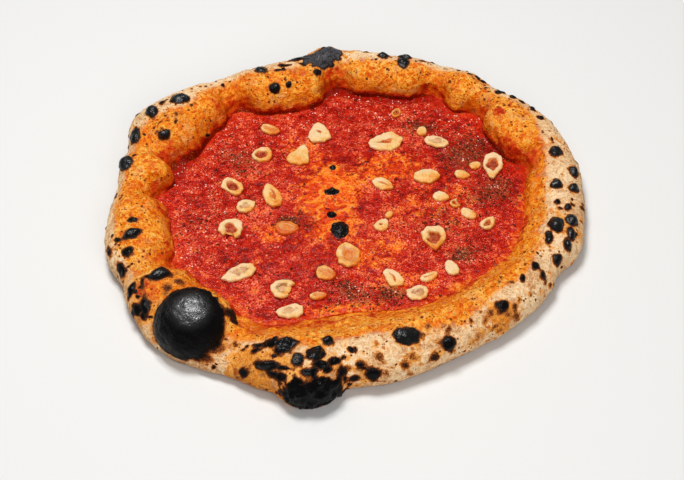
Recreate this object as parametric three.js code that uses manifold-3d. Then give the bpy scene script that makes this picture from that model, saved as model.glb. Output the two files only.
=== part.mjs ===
// A marinara pizza from a wood-fired oven: a flat dough base with a high, blistered rim, a layer of
// tomato sauce with dried oregano, and slices of garlic baked on top.
// Millimetres, +Z up. The pizza lies on z = 0, centred on the origin, with its front towards -Y.

import * as THREE from "three";
import { mergeVertices } from "three/addons/utils/BufferGeometryUtils.js";
import Module from "manifold-3d";

const wasm = await Module();
wasm.setup();

// Driving dimensions

const touchGap = 0.4; // clearance between pieces that rest against each other
const floorHeight = 4; // top of the thin dough base, under the sauce
const sauceLevel = 6.5; // height at which the sauce meets the rim
const sauceSwell = 0.35; // how far the sauce rises and falls over the base
const swellLength = [13, 15]; // length of a radian of that swell along X and Y
const sauceRun = 5; // plan width of the dough slope that is under the sauce
const sauceRingShares = [0.94, 0.7, 0.45, 0.2]; // rings of the sauce's top, as shares of its radius

// Fineness of the meshes
const angularSteps = 140; // columns around the pizza
const lowerSteps = 3; // rings from the foot to the widest point
const upperSteps = 5; // rings from there to the crest
const innerSteps = 6; // rings down the inner wall
const bubbleMesh = [16, 10]; // columns and rows of a large bubble
const blisterMesh = [7, 4];
const baseBubbleMesh = [9, 6];
const weldDistance = 1e-4; // vertices closer than this are one

// The rim every 15 degrees, anticlockwise from +X: outer radius, radius of the sauce's edge,
// height of the crest, and how steep the inner wall is (0 a long slope, 1 a bulging wall).
const rimStations = [
  [154, 114, 22, 0.5], // right
  [158, 119, 24, 0.9],
  [159, 117, 25, 1.0],
  [156, 122, 25, 1.0],
  [157, 124, 25, 1.0],
  [152, 120, 25, 1.0],
  [155, 118, 26, 1.0], // back
  [150, 108, 27, 1.0],
  [153, 114, 26, 1.0],
  [162, 121, 26, 1.0],
  [169, 115, 27, 1.0],
  [156, 119, 25, 1.0],
  [155, 116, 24, 0.9], // left
  [159, 115, 25, 0.8],
  [160, 112, 23, 0.6],
  [165, 107, 20, 0.4],
  [159, 112, 21, 0.2],
  [160, 97, 25, 0.1],
  [153, 88, 25, 0.0], // front
  [147, 90, 24, 0.0],
  [143, 95, 24, 0.0],
  [145, 97, 24, 0.1],
  [147, 105, 23, 0.2],
  [153, 112, 22, 0.4],
];
const crestInset = 24; // most that the crest lies inside the outer edge
const crestShare = 0.45; // share of the rim's width outside the crest, where the rim is narrow
const bulgeShare = 0.42; // height of the widest point, as a share of the crest's height
const footInset = 8; // how far the foot is tucked in under the outer edge

// Creases that part the rim's puffs: angle, share of the crest's height lost, how far the inner
// wall draws back, and how far the outer edge draws in.
const creases = [
  [17, 0.16, 6, 0],
  [46, 0.18, 8, 2],
  [62, 0.18, 7, 0],
  [93, 0.1, 8, 0],
  [126, 0.16, 9, 0],
  [157, 0.2, 6, 5],
  [173, 0.2, 7, 2],
  [203, 0.18, 5, 4],
  [242, 0.24, 0, 2],
  [270, 0.08, 0, 3],
  [336, 0.12, 0, 4],
];
const creaseHalfWidth = 4; // degrees

// Large dough bubbles on the rim: angle, radius from the centre, height of the bubble's centre,
// and half sizes around the rim, across it and upwards.
const rimBubbles = [
  [227.4, 140, 11, 25, 25, 25], // the great burnt bubble
  [259.8, 145.5, 10, 23, 22.5, 18], // the burnt front corner
  [95, 141, 17, 17, 12, 11.5], // the burnt back
];

// Blisters on the rim: angle, radius from the centre, radius of the blister.
const blisters = [
  [3, 135, 4],
  [3, 147, 4],
  [8, 150, 3.5],
  [16, 144, 4],
  [73, 145, 4],
  [79, 142, 4],
  [113, 119, 3.5],
  [115, 139, 3.5],
  [139, 148, 6.5],
  [147, 155, 5],
  [153, 136, 3.5],
  [155, 156, 4],
  [165, 150, 4.5],
  [193, 141, 5.5],
  [199, 146, 3.5],
  [209, 154, 4],
  [210, 136, 6.5],
  [214, 127, 5],
  [236, 116, 4],
  [251, 150, 6.5],
  [252, 136, 7],
  [264, 128, 4],
  [284, 127, 8],
  [295, 139, 5],
  [313, 135, 4.5],
  [331, 133, 3.5],
  [338, 142, 4],
  [342, 145, 4],
  [347, 135, 5.5],
  [347, 146, 4],
  [351, 145, 5],
  [356, 135, 3],
  [356, 142, 3],
];
const blisterRise = 0.45; // height of a blister, as a share of its radius
const blisterSink = 0.3; // how deep its ball is set, as a share of its radius

// Burnt bubbles of the base that break through the sauce: place, and half sizes along X and Y.
const baseBubbles = [
  [-9, 43, 2.6, 3],
  [-10, 20, 5.4, 3.8],
  [-10, -2, 3.8, 3.4],
  [-5, -16, 6.4, 9],
];
const baseBubbleTop = 9.4;

// Garlic slices: place, length, width, direction of the length in degrees, then the shape: how
// pointed the far end is, the share cut out in the middle, and the degrees of the ring that are open.
const garlicSlices = [
  [-51, 82, 14, 9, -25, 0.1, 0, 0],
  [-18, 77, 19, 15, 90, 0.4, 0, 0],
  [-56, 56, 15, 14, 60, 0.1, 0.25, 0],
  [-31, 54, 21, 14, 72, 0.45, 0, 0],
  [-75, 25, 18, 13, -50, 0.1, 0.28, 0],
  [-49, 16, 22, 12, 108, 0.3, 0.26, 0],
  [-66, 6, 13, 12, 30, 0.1, 0, 0],
  [-75, -15, 18, 16, -85, 0.1, 0.34, 24],
  [-69, -55, 23, 13, 208, 0.25, 0, 0],
  [-41, -69, 17, 15, 0, 0.1, 0.38, 60],
  [-37, -89, 17, 12, 186, 0.35, 0, 0],
  [-14, -57, 14, 11, -25, 0.3, 0, 0],
  [-19, -76, 12, 6, 8, 0.1, 0, 0],
  [-39, -15, 16, 12, -10, 0.2, 0, 0],
  [0, -41, 21, 16, 100, 0.1, 0.32, 0],
  [26, 66, 23, 18, 15, -0.4, 0.2, 0],
  [51.5, 77, 9, 7, 80, 0.1, 0, 0],
  [61, 66, 18, 10, -22, 0.1, 0, 0],
  [35, 97, 9, 6, 70, 0.2, 0.5, 0],
  [53, 32, 18, 13, 0, 0.1, 0, 0],
  [24, 25, 15, 10, -32, 0.1, 0, 0],
  [76.5, 33, 11, 8, -20, 0.3, 0, 0],
  [97, 41, 25, 13, 82, -0.35, 0.36, 0],
  [85.5, 42, 8, 7.5, 30, 0.1, 0, 0],
  [61.5, 12, 11, 9, -20, 0.3, 0, 0],
  [71, 5.5, 9, 8, 40, 0.1, 0.4, 90],
  [78.5, -5, 13, 8, -40, 0.1, 0, 0],
  [90, -14, 13, 9, 55, 0.1, 0.42, 0],
  [22, -14, 12, 9, 62, 0.25, 0, 0],
  [55, -27, 22, 16, 270, 0.5, 0.42, 0],
  [65, -54, 14, 9, 113, 0.1, 0, 0],
  [28, -62, 17, 11, 120, 0.15, 0, 0],
  [50, -61.5, 13, 7, 30, 0.1, 0, 0],
  [42.5, -75, 14, 12.5, 200, -0.1, 0.24, 0],
  [27, -4, 7, 5, 60, 0.2, 0, 0],
];
const garlicThickness = 2.4;
const garlicBevel = 0.6;
const garlicPoints = 9; // points of an outline
const garlicHolePoints = 7;
const garlicCurl = 0.05; // rise of a slice's ends, as a share of its length

// Flakes of dried oregano, fused to the sauce
const flakeCount = 44;
const flakeSize = [1.7, 0.9, 0.55]; // half sizes
const flakeMargin = 2.5; // clear distance to garlic and to the burnt bubbles
const flakeSpacing = 9; // least distance between two flakes
const flakeReach = 0.9; // outermost flakes, as a share of the sauce's radius
const flakeTries = 4000;
const flakeSeed = 1729;

// Curves that the shapes follow

const radians = (degrees) => (degrees * Math.PI) / 180;
const smooth = (t) => t * t * (3 - 2 * t);

// A value between the rim's stations, on a closed Catmull-Rom curve.
function stationValue(column, angle) {
  const count = rimStations.length;
  const place = ((((angle / (2 * Math.PI)) % 1) + 1) % 1) * count;
  const first = Math.floor(place);
  const t = place - first;
  const [a, b, c, d] = [-1, 0, 1, 2].map(
    (step) => rimStations[(first + step + count) % count][column],
  );
  const slope = c - a;
  const bend = 2 * a - 5 * b + 4 * c - d;
  const twist = 3 * b - a - 3 * c + d;
  return 0.5 * (2 * b + slope * t + bend * t * t + twist * t * t * t);
}

// How strongly an angle lies in a crease, from 0 to 1.
function creaseWeight(angle, creaseAngle) {
  const apart = Math.abs((((angle * 180) / Math.PI - creaseAngle + 540) % 360) - 180);
  return smooth(Math.max(0, 1 - apart / (2 * creaseHalfWidth)));
}

// The rim's cross-section at an angle.
function rimSection(angle) {
  let [outer, inner, crest, steep] = [0, 1, 2, 3].map((column) => stationValue(column, angle));
  for (const [creaseAngle, depth, drawBack, drawIn] of creases) {
    const weight = creaseWeight(angle, creaseAngle);
    crest *= 1 - depth * weight;
    inner += drawBack * weight;
    outer -= drawIn * weight;
  }
  const crestRadius = outer - Math.min(crestInset, crestShare * (outer - inner));
  return { outer, inner, crest, steep, crestRadius };
}

// Height of the sauce's top surface.
function sauceTop(x, y) {
  const wave = Math.sin(x / swellLength[0] + 1) * Math.cos(y / swellLength[1] - 0.6);
  return sauceLevel + sauceSwell * (1 + wave);
}

// Meshes made of rings

// A closed surface through rings of points that run anticlockwise, from a bottom centre out
// and up, and in again to a top centre.
function ringGeometry(bottomCentre, rings, topCentre) {
  const points = [bottomCentre, ...rings.flat(), topCentre];
  const triangles = [];
  const columns = rings[0].length;
  const vertex = (ring, column) => 1 + ring * columns + (column % columns);
  const last = rings.length - 1;
  for (let i = 0; i < columns; i++) {
    triangles.push(0, vertex(0, i + 1), vertex(0, i));
    for (let ring = 0; ring < last; ring++) {
      const [a, b] = [vertex(ring, i), vertex(ring, i + 1)];
      const [c, d] = [vertex(ring + 1, i + 1), vertex(ring + 1, i)];
      triangles.push(a, b, c, a, c, d);
    }
    triangles.push(points.length - 1, vertex(last, i), vertex(last, i + 1));
  }
  const geometry = new THREE.BufferGeometry();
  geometry.setAttribute("position", new THREE.Float32BufferAttribute(points.flat(), 3));
  geometry.setIndex(triangles);
  return geometry;
}

const columnAngles = Array.from(
  { length: angularSteps },
  (_, column) => (column / angularSteps) * 2 * Math.PI,
);

// One ring of points, from a function that gives radius and height at an angle.
function ring(radiusAndHeight) {
  return columnAngles.map((angle) => {
    const [radius, height] = radiusAndHeight(rimSection(angle), angle);
    return [radius * Math.cos(angle), radius * Math.sin(angle), height];
  });
}

// The steps from 1 to count, as shares of count.
const shares = (count) => Array.from({ length: count }, (_, step) => (step + 1) / count);

// Solids for joining and cutting

function solidOf(geometry) {
  const bare = geometry.clone();
  bare.deleteAttribute("normal");
  bare.deleteAttribute("uv");
  const merged = mergeVertices(bare, weldDistance);
  return new wasm.Manifold(
    new wasm.Mesh({
      numProp: 3,
      vertProperties: new Float32Array(merged.attributes.position.array),
      triVerts: new Uint32Array(merged.index.array),
    }),
  );
}

function geometryOf(solid) {
  const mesh = solid.getMesh();
  const geometry = new THREE.BufferGeometry();
  geometry.setAttribute("position", new THREE.BufferAttribute(mesh.vertProperties, 3));
  geometry.setIndex(new THREE.BufferAttribute(mesh.triVerts, 1));
  geometry.computeVertexNormals();
  return geometry;
}

// An ellipsoid with the given half sizes, turned about the upright axis and put in place.
function ellipsoid(halfSizes, turn, place, fineness) {
  const ball = new THREE.SphereGeometry(1, ...fineness);
  ball.rotateX(Math.PI / 2);
  ball.scale(...halfSizes);
  ball.rotateZ(turn);
  ball.translate(...place);
  return ball;
}

const polar = (angle, radius, height) => [
  radius * Math.cos(angle),
  radius * Math.sin(angle),
  height,
];

// The dough

// Height of the rim's top surface at a radius between the sauce's edge and the outer edge.
function rimHeight(section, radius) {
  const { outer, inner, crest, steep, crestRadius } = section;
  if (radius >= crestRadius) {
    const across = (radius - crestRadius) / (outer - crestRadius);
    const bulge = bulgeShare * crest;
    return bulge + (crest - bulge) * Math.sqrt(Math.max(0, 1 - across * across));
  }
  const rise = (radius - inner) / (crestRadius - inner);
  const wall = Math.sqrt(Math.max(0, 1 - (1 - rise) * (1 - rise)));
  return sauceLevel + (crest - sauceLevel) * (steep * wall + (1 - steep) * smooth(rise));
}

function doughRings() {
  const lower = shares(lowerSteps).map((share) => {
    const turn = (share * Math.PI) / 2;
    return ring(({ outer, crest }) => [
      outer - footInset * (1 - Math.sin(turn)),
      bulgeShare * crest * (1 - Math.cos(turn)),
    ]);
  });
  const upper = shares(upperSteps).map((share) => {
    const turn = (share * Math.PI) / 2;
    return ring((section) => {
      const radius =
        section.crestRadius + (section.outer - section.crestRadius) * Math.cos(turn);
      return [radius, rimHeight(section, radius)];
    });
  });
  const innerWall = shares(innerSteps).map((share) =>
    ring((section) => {
      const rise = 1 - Math.sin((share * Math.PI) / 2) * share;
      const radius = section.inner + (section.crestRadius - section.inner) * rise;
      return [radius, rimHeight(section, radius)];
    }),
  );
  const base = ring(({ inner }) => [inner - sauceRun, floorHeight]);
  const foot = ring(({ outer }) => [outer - footInset, 0]);
  return [foot, ...lower, ...upper, ...innerWall, base];
}

function bubbleOnRim([degrees, radius, height, around, across, up]) {
  const angle = radians(degrees);
  return ellipsoid([across, around, up], angle, polar(angle, radius, height), bubbleMesh);
}

function blisterOnRim([degrees, radius, size]) {
  const angle = radians(degrees);
  const surface = rimHeight(rimSection(angle), radius);
  const place = polar(angle, radius, surface - size * blisterSink);
  const up = size * (blisterRise + blisterSink);
  return ellipsoid([size, size, up], angle, place, blisterMesh);
}

// A bubble of the base, grown by the gap that the sauce keeps to it.
function bubbleOnBase([x, y, halfX, halfY], gap = 0) {
  const up = baseBubbleTop - floorHeight;
  const halfSizes = [halfX + gap, halfY + gap, up + gap];
  return ellipsoid(halfSizes, 0, [x, y, floorHeight], baseBubbleMesh);
}

// A block below z = 0, wider than the pizza, that trims what hangs under the base.
function blockBelow() {
  const side = 3 * Math.max(...rimStations.map(([outer]) => outer));
  return new THREE.BoxGeometry(side, side, side).translate(0, 0, -side / 2);
}

function doughSolid() {
  const body = solidOf(ringGeometry([0, 0, 0], doughRings(), [0, 0, floorHeight]));
  const raised = [
    ...rimBubbles.map(bubbleOnRim),
    ...blisters.map(blisterOnRim),
    ...baseBubbles.map((bubble) => bubbleOnBase(bubble)),
  ];
  const whole = raised.reduce((solid, geometry) => solid.add(solidOf(geometry)), body);
  return whole.subtract(solidOf(blockBelow()));
}

// The garlic

// A closed ring of points on the slice's outline, shrunk by a share, from one angle to another.
function garlicOutline([, , length, width, , point], share, count, from, to) {
  return Array.from({ length: count }, (_, step) => {
    const angle = from + ((to - from) * step) / count;
    const x = (length / 2) * Math.cos(angle);
    const y = (width / 2) * Math.sin(angle) * (1 - point * Math.cos(angle));
    return new THREE.Vector2(share * x, share * y);
  });
}

// The slice's flat shape: a disc, a ring, or an open ring that looks along its length.
function garlicShape(slice) {
  const [hole, open] = slice.slice(6);
  const full = 2 * Math.PI;
  if (!open) {
    const shape = new THREE.Shape(garlicOutline(slice, 1, garlicPoints, 0, full));
    if (hole) {
      shape.holes.push(new THREE.Path(garlicOutline(slice, hole, garlicHolePoints, 0, full)));
    }
    return shape;
  }
  const [from, to] = [radians(open / 2), full - radians(open / 2)];
  const outside = garlicOutline(slice, 1, garlicPoints, from, to);
  const inside = garlicOutline(slice, hole, garlicHolePoints, from, to);
  return new THREE.Shape([...outside, ...inside.reverse()]);
}

function garlicGeometry(slice) {
  const [x, y, length, , turn] = slice;
  const geometry = new THREE.ExtrudeGeometry(garlicShape(slice), {
    depth: garlicThickness - 2 * garlicBevel,
    bevelThickness: garlicBevel,
    bevelSize: garlicBevel,
    bevelOffset: -garlicBevel,
    bevelSegments: 1,
    curveSegments: 1,
    steps: 1,
  });
  const position = geometry.attributes.position;
  const half = length / 2;
  for (let i = 0; i < position.count; i++) {
    const along = position.getX(i) / half;
    position.setZ(i, position.getZ(i) + garlicBevel + garlicCurl * length * along * along);
  }
  geometry.rotateZ(radians(turn));
  const seat = Math.max(...garlicFootprint(slice).map(([px, py]) => sauceTop(px, py)));
  geometry.translate(x, y, seat + touchGap);
  return geometry;
}

// The outline of a slice in plan, where it lies.
function garlicFootprint(slice) {
  const [x, y, , , turn] = slice;
  const centre = new THREE.Vector2(x, y);
  const edge = garlicOutline(slice, 1, garlicPoints, 0, 2 * Math.PI);
  return [new THREE.Vector2(), ...edge].map((p) =>
    p.clone().rotateAround(new THREE.Vector2(), radians(turn)).add(centre).toArray(),
  );
}

// The sauce

function sauceRings() {
  const edgeGap = 2 * touchGap; // along the radius, as the slope under the edge is shallow
  const bottom = ring(({ inner }) => [inner - sauceRun - edgeGap, floorHeight + touchGap]);
  const edge = ring(({ inner }) => [inner - edgeGap, sauceLevel]);
  const top = sauceRingShares.map((share) =>
    ring(({ inner }, angle) => {
      const radius = share * inner;
      return [radius, sauceTop(radius * Math.cos(angle), radius * Math.sin(angle))];
    }),
  );
  return [bottom, edge, ...top];
}

// A repeatable stream of numbers from 0 to 1, by Lehmer's rule.
function seededRandom(seed) {
  const multiplier = 16807;
  const modulus = 2 ** 31 - 1;
  let state = seed;
  return () => {
    state = (state * multiplier) % modulus;
    return state / modulus;
  };
}

// Places for the flakes, clear of the garlic, of the burnt bubbles and of the sauce's edge.
function flakePlaces() {
  const random = seededRandom(flakeSeed);
  const obstacles = [
    ...garlicSlices.map(([x, y, length]) => [x, y, length / 2]),
    ...baseBubbles.map(([x, y, halfX, halfY]) => [x, y, Math.max(halfX, halfY)]),
  ];
  const places = [];
  for (let tries = 0; tries < flakeTries && places.length < flakeCount; tries++) {
    const angle = 2 * Math.PI * random();
    const radius = rimSection(angle).inner * flakeReach * Math.sqrt(random());
    const [x, y] = polar(angle, radius, 0);
    const distance = ([otherX, otherY]) => Math.hypot(x - otherX, y - otherY);
    const clear = obstacles.every((other) => distance(other) > other[2] + flakeMargin);
    const apart = places.every((other) => distance(other) > flakeSpacing);
    if (clear && apart) {
      places.push([x, y, 2 * Math.PI * random()]);
    }
  }
  return places;
}

function flake([x, y, turn]) {
  const grain = new THREE.OctahedronGeometry(1);
  grain.scale(...flakeSize);
  grain.rotateZ(turn);
  grain.translate(x, y, sauceTop(x, y) + flakeSize[2] / 4);
  return grain;
}

function sauceSolid() {
  const bottomCentre = [0, 0, floorHeight + touchGap];
  const body = solidOf(ringGeometry(bottomCentre, sauceRings(), [0, 0, sauceTop(0, 0)]));
  const withFlakes = flakePlaces().reduce((solid, place) => solid.add(solidOf(flake(place))), body);
  return baseBubbles.reduce(
    (solid, bubble) => solid.subtract(solidOf(bubbleOnBase(bubble, touchGap))),
    withFlakes,
  );
}

// The pizza

const crust = { color: 0xd9955a, roughness: 0.75 };
const tomato = { color: 0xb8321c, roughness: 0.35 };
const bakedGarlic = { color: 0xead3a0, roughness: 0.5 };

function piece(name, geometry, look) {
  const mesh = new THREE.Mesh(geometry, new THREE.MeshStandardMaterial(look));
  mesh.name = name;
  return mesh;
}

const pizza = new THREE.Group();
pizza.add(piece("dough", geometryOf(doughSolid()), crust));
pizza.add(piece("sauce", geometryOf(sauceSolid()), tomato));
garlicSlices.forEach((slice, index) => {
  const name = `garlic_${String(index + 1).padStart(2, "0")}`;
  pizza.add(piece(name, garlicGeometry(slice), bakedGarlic));
});

export default pizza;
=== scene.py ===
"""The looks of a marinara pizza: blistered crust, wet tomato sauce, oregano and baked garlic.

Metres, +Z up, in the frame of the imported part. Angles around the rim are degrees anticlockwise from
+X. Angles over the rim are 0 at its outer side, 90 on top and 180 where it runs down to the sauce.
"""
import math

import bmesh
import bpy
import numpy as np
from mathutils import Matrix, Vector, noise
from mathutils.bvhtree import BVHTree


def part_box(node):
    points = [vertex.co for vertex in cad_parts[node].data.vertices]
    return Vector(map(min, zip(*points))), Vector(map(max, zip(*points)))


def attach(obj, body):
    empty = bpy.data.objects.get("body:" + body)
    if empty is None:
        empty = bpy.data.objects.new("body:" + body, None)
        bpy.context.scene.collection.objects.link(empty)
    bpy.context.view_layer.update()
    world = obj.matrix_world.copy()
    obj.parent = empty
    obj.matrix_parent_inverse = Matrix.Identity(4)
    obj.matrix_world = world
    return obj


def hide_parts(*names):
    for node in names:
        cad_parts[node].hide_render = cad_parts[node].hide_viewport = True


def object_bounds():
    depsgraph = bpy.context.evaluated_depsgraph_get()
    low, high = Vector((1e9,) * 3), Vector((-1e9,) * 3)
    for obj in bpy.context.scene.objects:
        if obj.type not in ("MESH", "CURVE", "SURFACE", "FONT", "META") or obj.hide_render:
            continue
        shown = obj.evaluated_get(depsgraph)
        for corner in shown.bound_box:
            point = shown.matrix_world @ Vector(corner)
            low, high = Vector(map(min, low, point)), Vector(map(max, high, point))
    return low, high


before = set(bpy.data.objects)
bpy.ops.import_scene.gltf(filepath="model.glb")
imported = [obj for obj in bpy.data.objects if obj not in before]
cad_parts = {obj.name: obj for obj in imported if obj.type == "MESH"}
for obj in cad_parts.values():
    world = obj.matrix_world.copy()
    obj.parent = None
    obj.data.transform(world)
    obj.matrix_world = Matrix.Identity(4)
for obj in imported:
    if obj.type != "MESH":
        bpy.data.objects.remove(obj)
cad_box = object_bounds()

MM = 0.001
GARLIC = sorted(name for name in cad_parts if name.startswith("garlic"))
# Noise and random draws are the same in each run
SEED = 20
noise.seed_set(SEED)

# The view of the photograph
CAMERA_TARGET = Vector((-3.8, -17.9, 0.0)) * MM
CAMERA_DISTANCE = 1263 * MM
CAMERA_ELEVATION = 44.25
CAMERA_ROLL = 1.05
CAMERA_LENS = 103.0

# Grid of the crust: columns around the rim, rows over it, and the rays that find its surface
COLUMNS = 840
ROWS = 104
RAYS = np.arange(-90.0, 180.5, 1.0)
SPINE_INSET = 16 * MM
SPINE_HEIGHT = 5 * MM
SPINE_BLUR = COLUMNS / 90
BULGE_HEIGHT = 8 * MM
FACET_BLUR = (2.6, 3.0)
BASE_RINGS = (0.66, 0.33)

# Burnt spots on the rim: angle around, angle over, half length and half width in mm, the lean of the
# length away from the rim's own direction, rise in mm, and blackness (under 0.5 a brown scorch)
BURNT_SPOTS = [
    # front left
    (254, 113, 6.5, 5, -45, 1.6, 1), (250, 106, 5, 2.5, -10, 1, 0.95), (247, 102, 3, 1.5, 0, 0.6, 0.8),
    (253, 100, 3, 3, 30, 0.8, 0.9), (247, 86, 2.5, 1.5, -25, 0.4, 0.8), (251, 60, 7, 2.5, -10, 1.4, 1),
    (255, 69, 5, 1, 5, 0.6, 0.9), (253, 53, 4, 1.5, -5, 0.4, 0.75), (255, 51, 4, 2, 0, 0.5, 0.85),
    (258, 90, 4.5, 3.5, 65, 1.4, 1), (262, 104, 5.5, 5, -75, 1.6, 1), (261, 94, 3, 2, -15, 0.8, 1),
    (266, 83, 4, 2, -35, 0.7, 0.95), (263, 82, 4, 2.5, -10, 0.8, 1), (264, 127, 3, 2.5, 25, 1.4, 1),
    (246, 30, 3, 2.5, -20, 0.5, 0.75), (261, 70, 4.5, 2, -15, 0.6, 0.95), (265, 68, 2, 1.5, -25, 0.4, 0.85),
    (268, 55, 4, 3, -50, 0.4, 0.7), (271, 30, 3, 2, 10, 0.5, 0.8), (275, 34, 4, 3.5, 15, 0.9, 0.95),
    (273, 48, 3, 1, 20, 0.4, 0.7), (277, 63, 4, 3, 80, 0.3, 0.4), (273, 60, 2.5, 2, 40, 0.2, 0.45),
    (274, 46, 3.5, 1.5, 15, 0.3, 0.5), (278, 27, 2.5, 2, 75, 0.2, 0.35), (277, 91, 2, 1, -80, 0.2, 0.3),
    (272, 119, 1.5, 1.5, 85, 0.2, 0.4), (270, 99, 2.5, 1, 0, 0.2, 0.3),
    # front right
    (285, 88, 7.5, 5.5, 10, 2.2, 1), (295, 46, 4.5, 4, 90, 1, 0.8), (293, 52, 3.5, 3, -55, 0.3, 0.4),
    (290, 32, 3.5, 2.5, 10, 0.4, 0.55), (296, 72, 2.5, 2, -20, 0.3, 0.5), (313, 63, 4.5, 4, 10, 0.8, 0.7),
    (316, 51, 2.5, 2, -25, 0.4, 0.5), (309, 63, 3, 2, -35, 0.2, 0.4), (307, 56, 2.5, 2, -40, 0.2, 0.35),
    (308, 35, 3.5, 1.5, 0, 0.2, 0.45), (307, 76, 1.5, 1, 25, 0.2, 0.35), (303, 38, 3, 2.5, -70, 0.2, 0.3),
    (303, 68, 1.5, 1, -50, 0.3, 0.5), (313, 44, 2.5, 1.5, 25, 0.2, 0.35), (318, 52, 2.5, 1.5, -20, 0.2, 0.35),
    (315, 29, 4, 3, 55, 0.3, 0.4), (322, 50, 2, 1.5, -5, 0.2, 0.35), (321, 92, 2, 1.5, 40, 0.2, 0.45),
    (319, 107, 2, 1.5, -45, 0.2, 0.4), (283, 38, 2.5, 2.5, 25, 0.3, 0.5), (285, 49, 4, 2.5, 20, 0.2, 0.35),
    (280, 39, 2, 1, 10, 0.2, 0.4), (284, 14, 2.5, 1.5, 40, 0.2, 0.4), (292, 94, 2.5, 1.5, -65, 0.2, 0.4),
    # right
    (330, 77, 3, 2.5, 5, 1, 0.9), (329, 54, 3, 2, -15, 0.6, 0.8), (328, 41, 2, 1.5, 10, 0.3, 0.5),
    (329, 28, 2, 1.5, 60, 0.3, 0.5), (324, 81, 2.5, 1.5, -25, 0.8, 0.9), (337, 48, 3.5, 2.5, -5, 1.4, 0.9),
    (347, 93, 6.5, 4.5, -10, 3.4, 1), (350, 64, 4.5, 3.5, -10, 2.8, 1), (346, 57, 4.5, 2.5, -10, 1.8, 1),
    (342, 95, 4, 2, -10, 1.6, 1), (342, 53, 3.5, 2.5, -5, 1.8, 1), (356, 99, 2, 1.5, -5, 1, 0.9),
    (355, 75, 2.5, 2, 5, 1.4, 0.95), (2, 60, 3.5, 3, 30, 2.4, 1), (3, 97, 4, 3, 25, 2.4, 1),
    (8, 58, 4, 3, 5, 1.8, 1), (16, 83, 4.5, 3.5, 10, 2.4, 1),
    # back
    (29, 66, 2, 2, 10, 1.4, 1), (33, 64, 2.5, 2, -10, 1.6, 1), (37, 66, 2, 1.5, 0, 1.3, 1),
    (40, 62, 2.5, 2, 20, 1.5, 1), (44, 65, 2, 2, -15, 1.4, 1), (52, 63, 2, 1.5, 0, 1.1, 0.9),
    (73, 68, 4, 3, 0, 1.8, 1), (73, 87, 5, 3.5, 75, 1.8, 1), (79, 78, 3.5, 3, -25, 1.8, 1),
    (99, 121, 2.5, 2, -25, 1.2, 1), (102, 72, 7.5, 3.5, 0, 0.8, 0.95), (108, 85, 4, 1.5, 30, 0.5, 0.85),
    (110, 99, 3.5, 1.5, 25, 0.4, 0.75), (109, 132, 2, 1.5, -70, 1, 0.95), (114, 132, 3, 2.5, 30, 1.5, 1),
    (115, 84, 4, 3.5, 45, 2.4, 1),
    # left
    (140, 97, 6, 5, 40, 3.8, 1), (142, 168, 3, 1, 30, 0.5, 0.8), (148, 82, 4.5, 4, -50, 3.2, 1),
    (153, 122, 3.5, 3, 25, 2.6, 1), (155, 58, 6, 3, -30, 2, 1), (166, 58, 5.5, 4.5, -30, 2.4, 0.9),
    (189, 97, 3, 2, -80, 0.8, 0.9), (194, 91, 6.5, 3, 80, 1.6, 1), (194, 63, 2.5, 1.5, -35, 0.6, 0.85),
    (199, 73, 3.5, 3, -50, 0.8, 0.85), (195, 37, 5.5, 2.5, -20, 0.5, 0.75), (202, 39, 4.5, 3, 10, 0.9, 0.95),
    (210, 45, 5, 2, 55, 0.9, 0.95), (211, 111, 6.5, 3.5, -80, 1.8, 1), (210, 98, 4.5, 1.5, -50, 0.6, 0.9),
    (210, 75, 5, 1.5, 25, 0.3, 0.6), (215, 138, 3.5, 2.5, -65, 0.6, 0.45), (216, 116, 3.5, 3, 40, 0.8, 0.5),
    (216, 56, 5.5, 3, 40, 1, 1), (215, 34, 4, 3, -25, 0.8, 0.95), (235, 150, 3.5, 3.5, 0, 1.8, 1),
    (241, 97, 3.5, 1.5, 75, 0.2, 0.4), (239, 65, 4.5, 1.5, 85, 0.2, 0.4),
]
# The burnt swelling at the front and the one at the back with grey ash and painted sheen, spots like those
# above
FRONT_BURN = (262, 24, 20.0, 11.0, 0, 0.8, 1.0)
BACK_BURN = (96, 88, 14.0, 7.5, -22, 0.6, 1.0)
# How far a spot reaches into the crust, the width in mm of a flat one's brown edge, a high one's gloss
SPOT_DEPTH = 6 * MM
SPOT_EDGE = 2.2
BLISTER_GLOSS = 0.25

# Places that the fire has only turned golden: angle around, angle over, half sizes in mm, strength
GOLDEN_PATCHES = [
    (246, 38, 16, 16, 0.85),
    (250, 20, 15, 11, 0.85),
    (254, 78, 15, 14, 0.60),
    (264, 95, 12, 14, 0.48),
    (275, 45, 12, 8, 0.50),
    (290, 45, 14, 8, 0.45),
    (303, 30, 9, 6, 0.60),
    (312, 50, 13, 12, 0.75),
    (350, 60, 20, 17, 0.50),
    (216, 45, 14, 14, 0.70),
    (206, 60, 14, 14, 0.55),
]
# Red oil smeared up the rim: angle around, angle over, half sizes in mm, strength
SMEARS = [
    (131, 130, 9, 14, 0.38),
    (213, 78, 12, 9, 0.40),
    (37, 122, 5, 4, 0.55),
    (27, 156, 14, 8, 0.60),
    (180, 154, 17, 8, 0.48),
    (199, 154, 14, 8, 0.44),
]
# Zones with many small burnt pimples: angles around, angles over, how many, least and most blackness
PIMPLE_ZONES = [
    (-28, 28, 5, 100, 24, 0.6, 1.0),
    (28, 80, 0, 78, 36, 0.6, 1.0),
    (80, 130, 0, 100, 36, 0.6, 1.0),
    (130, 165, 0, 85, 26, 0.6, 1.0),
    (165, 222, 0, 75, 32, 0.5, 1.0),
    (236, 275, 5, 115, 24, 0.4, 0.9),
    (275, 332, 5, 100, 40, 0.2, 0.4),
    (227, 235, 126, 142, 18, 0.4, 0.6),
    (139, 153, 95, 130, 18, 0.4, 0.65),
]
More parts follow.
